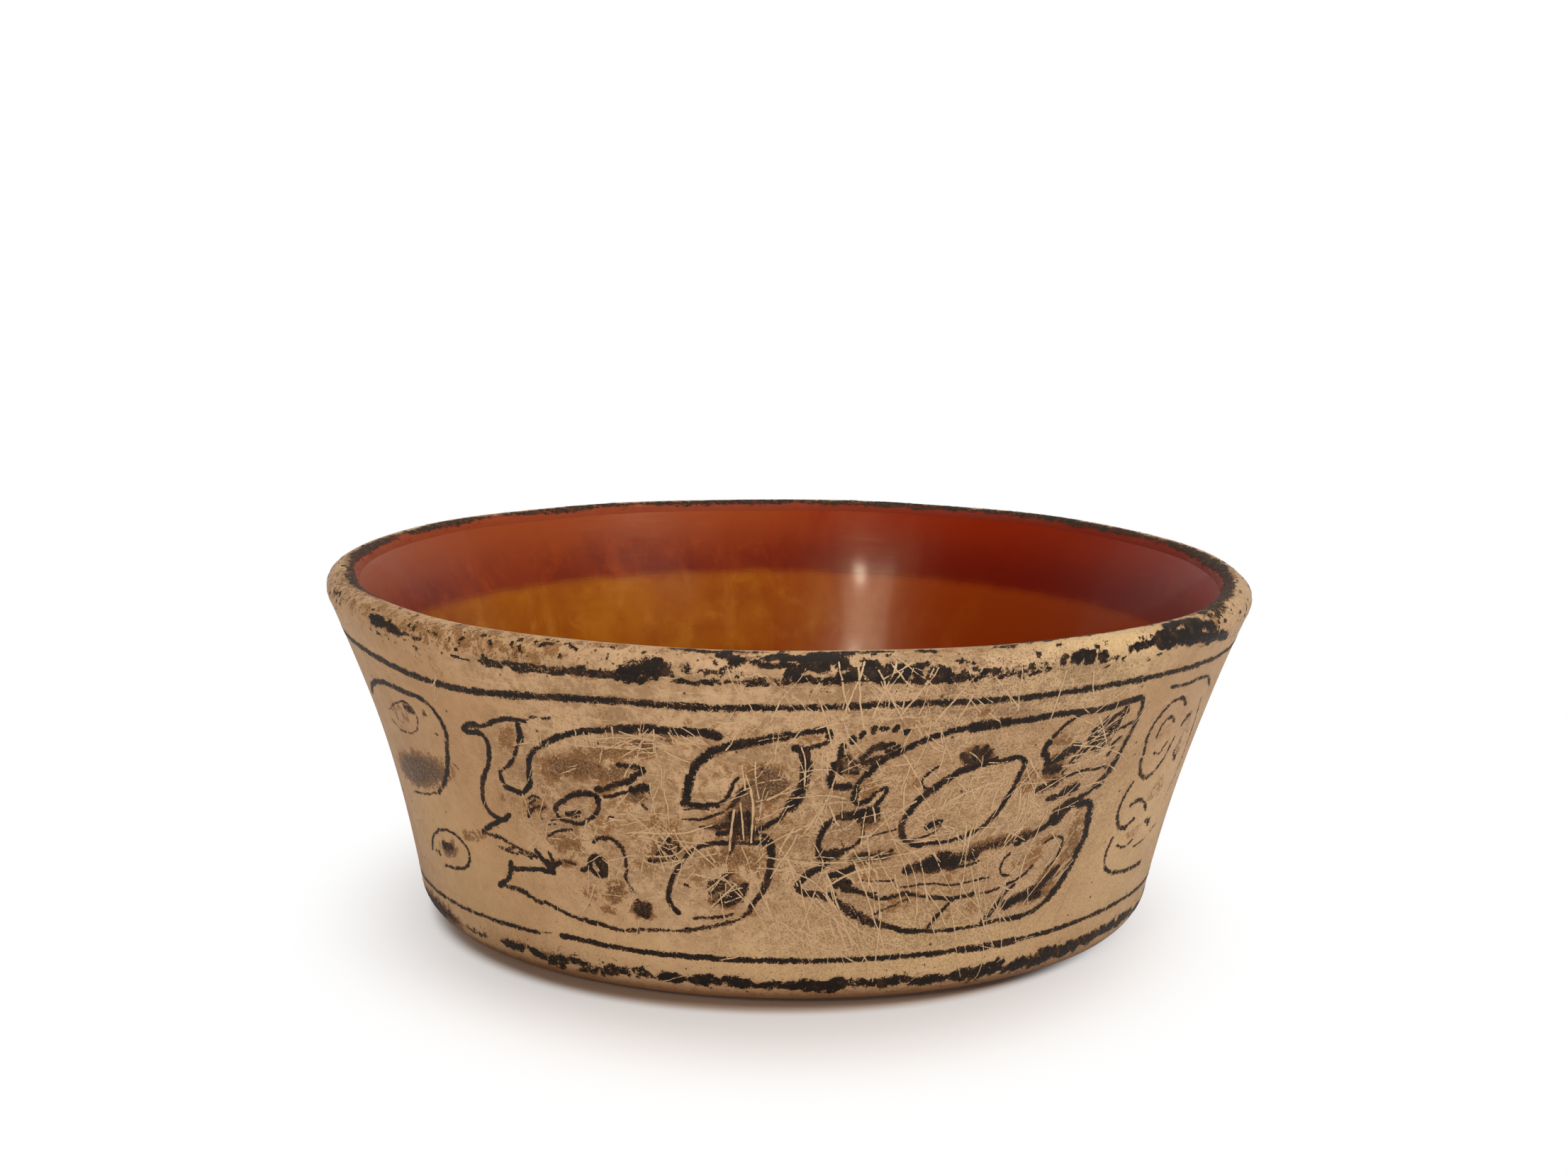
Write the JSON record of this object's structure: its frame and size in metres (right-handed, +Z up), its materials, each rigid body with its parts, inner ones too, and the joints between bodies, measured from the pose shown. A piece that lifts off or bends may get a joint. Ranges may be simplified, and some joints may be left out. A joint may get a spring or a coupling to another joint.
{
  "type": "bowl",
  "caption": "Round flaring-walled pottery bowl with a flat base and rounded lip, slip coated, burnished red and orange inside, with black painted bands outside.",
  "frame": {"origin": "on the bowl's axis, at the flat underside", "axes": "+Z up along the axis; -Y is the side that the picture shows, +X to its right"},
  "size_m": [0.2, 0.2, 0.0748],
  "materials": {
    "clay": "matt fired clay",
    "cream_slip": "smoothed, stained and scratched slip",
    "red_slip": "burnished slip",
    "orange_slip": "burnished slip",
    "black_paint": "worn mineral paint"
  },
  "bodies": {
    "root": {"floor_slab": "clay", "wall_coil_1": "clay", "wall_coil_2": "clay", "wall_coil_3": "clay", "wall_coil_4": "clay", "wall_coil_5": "clay", "rim_coil": "clay", "outer_cream_slip": "cream_slip", "inner_red_slip": "red_slip", "inner_orange_slip": "orange_slip", "foot_black_band": "black_paint", "lower_black_line": "black_paint", "upper_black_line": "black_paint", "lip_black_band": "black_paint"}
  },
  "joints": []
}
